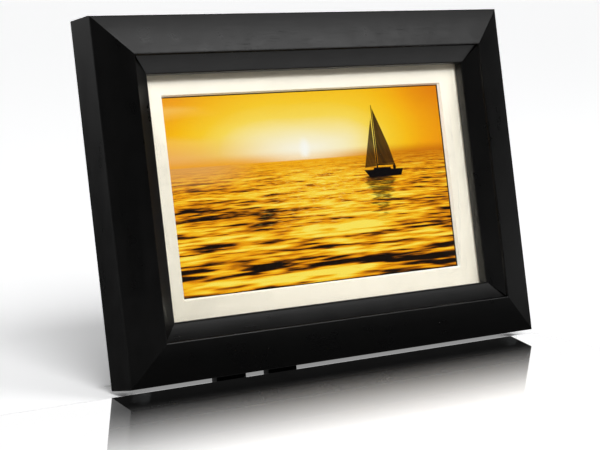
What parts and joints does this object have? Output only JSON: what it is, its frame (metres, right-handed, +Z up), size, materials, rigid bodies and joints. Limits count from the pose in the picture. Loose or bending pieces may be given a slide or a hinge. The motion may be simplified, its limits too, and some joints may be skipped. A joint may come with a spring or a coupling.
{
  "type": "desktop digital photo frame",
  "caption": "Digital photo frame with a mitred black wooden moulding, a cream mat around a wide picture panel, a rear electronics housing and a fold-out leg.",
  "frame": {"origin": "bottom centre of the whole standing object's box, on the table", "axes": "+X to the viewer's right along the frame's width, +Z up; the picture faces -Y and leans back towards +Y, where the leg stands"},
  "size_m": [0.224, 0.075, 0.1544],
  "materials": {
    "black_wood": "satin black lacquer over wood",
    "clear_glass": "clear polished picture glass",
    "mat_card": "uncoated cream mat card",
    "picture": null,
    "bright_steel": "plain stamped steel",
    "white_film": "matt white film",
    "clear_plastic": "clear acrylic",
    "led_white": "white strip with yellow phosphor",
    "white_plastic": "matt",
    "fibre_board": "brown hardboard",
    "ribbon": "amber film",
    "board_green": "solder mask",
    "ivory_plastic": "matt",
    "chip_black": "matt moulded",
    "capacitor_sleeve": "shrink sleeve",
    "zinc_screw": "zinc plated",
    "magnet": "ferrite in a steel cup",
    "cone_paper": "black pulp",
    "lead_red": "insulated wire and header",
    "housing_plastic": "fine texture",
    "black_screw": "black oxide",
    "bracket_paint": "satin black",
    "clear_rubber": "clear soft polyurethane",
    "leg_plastic": "semi-gloss black",
    "black_rubber": "matt",
    "key_plastic": "satin"
  },
  "bodies": {
    "frame_body": {"rail_top": "black_wood", "rail_bottom": "black_wood", "rail_left": "black_wood", "rail_right": "black_wood", "corner_nails": "bright_steel", "glass_pane": "clear_glass", "mat_board": "mat_card", "lcd_bezel": "bright_steel", "lcd_cell": "picture", "optical_films": "white_film", "light_guide": "clear_plastic", "reflector_sheet": "white_film", "led_strip": "led_white", "mid_frame": "white_plastic", "lcd_tray": "bright_steel", "backing_board": "fibre_board", "flex_cable": "ribbon", "main_board": "board_green", "flex_connector": "ivory_plastic", "board_chips": "chip_black", "board_capacitors": "capacitor_sleeve", "coin_cell_holder": "chip_black", "coin_cell": "bright_steel", "board_screws": "zinc_screw", "card_socket": "bright_steel", "usb_host_socket": "bright_steel", "usb_mini_socket": "bright_steel", "dc_inlet": "chip_black", "dc_inlet_pin": "bright_steel", "power_switch": "bright_steel", "speaker_baskets": "chip_black", "speaker_magnets": "magnet", "speaker_cones": "cone_paper", "speaker_leads": "lead_red", "rear_housing": "housing_plastic", "housing_screws": "black_screw", "hinge_bracket": "bracket_paint", "bracket_screws": "black_screw", "hinge_pin": "bright_steel", "bumper_left": "clear_rubber", "bumper_right": "clear_rubber"},
    "leg": {"stand_leg": "leg_plastic", "leg_tips": "black_rubber"},
    "power_slide": {"power_slider": "key_plastic"},
    "key_middle_body": {"key_middle": "key_plastic"},
    "key_up_body": {"key_up": "key_plastic"},
    "key_down_body": {"key_down": "key_plastic"},
    "key_left_body": {"key_left": "key_plastic"},
    "key_right_body": {"key_right": "key_plastic"},
    "key_menu_body": {"key_menu": "key_plastic"},
    "key_back_body": {"key_back": "key_plastic"}
  },
  "joints": [
    {"name": "leg_hinge", "type": "hinge", "parent": "frame_body", "child": "leg", "pos_m": [0, 0.02226, 0.10701], "axis": [1, 0, 0], "range_deg": [-18.5, 0]},
    {"name": "power_slide_joint", "type": "slide", "parent": "frame_body", "child": "power_slide", "axis": [0, 0.1874, 0.9823], "range_m": [0, 0.0035]},
    {"name": "press_middle", "type": "slide", "parent": "frame_body", "child": "key_middle_body", "axis": [0, -0.9823, 0.1874], "range_m": [0, 0.0007], "stiffness_N_per_m": 400},
    {"name": "press_up", "type": "slide", "parent": "frame_body", "child": "key_up_body", "axis": [0, -0.9823, 0.1874], "range_m": [0, 0.0007], "stiffness_N_per_m": 400},
    {"name": "press_down", "type": "slide", "parent": "frame_body", "child": "key_down_body", "axis": [0, -0.9823, 0.1874], "range_m": [0, 0.0007], "stiffness_N_per_m": 400},
    {"name": "press_left", "type": "slide", "parent": "frame_body", "child": "key_left_body", "axis": [0, -0.9823, 0.1874], "range_m": [0, 0.0007], "stiffness_N_per_m": 400},
    {"name": "press_right", "type": "slide", "parent": "frame_body", "child": "key_right_body", "axis": [0, -0.9823, 0.1874], "range_m": [0, 0.0007], "stiffness_N_per_m": 400},
    {"name": "press_menu", "type": "slide", "parent": "frame_body", "child": "key_menu_body", "axis": [0, -0.9823, 0.1874], "range_m": [0, 0.0007], "stiffness_N_per_m": 400},
    {"name": "press_back", "type": "slide", "parent": "frame_body", "child": "key_back_body", "axis": [0, -0.9823, 0.1874], "range_m": [0, 0.0007], "stiffness_N_per_m": 400}
  ]
}
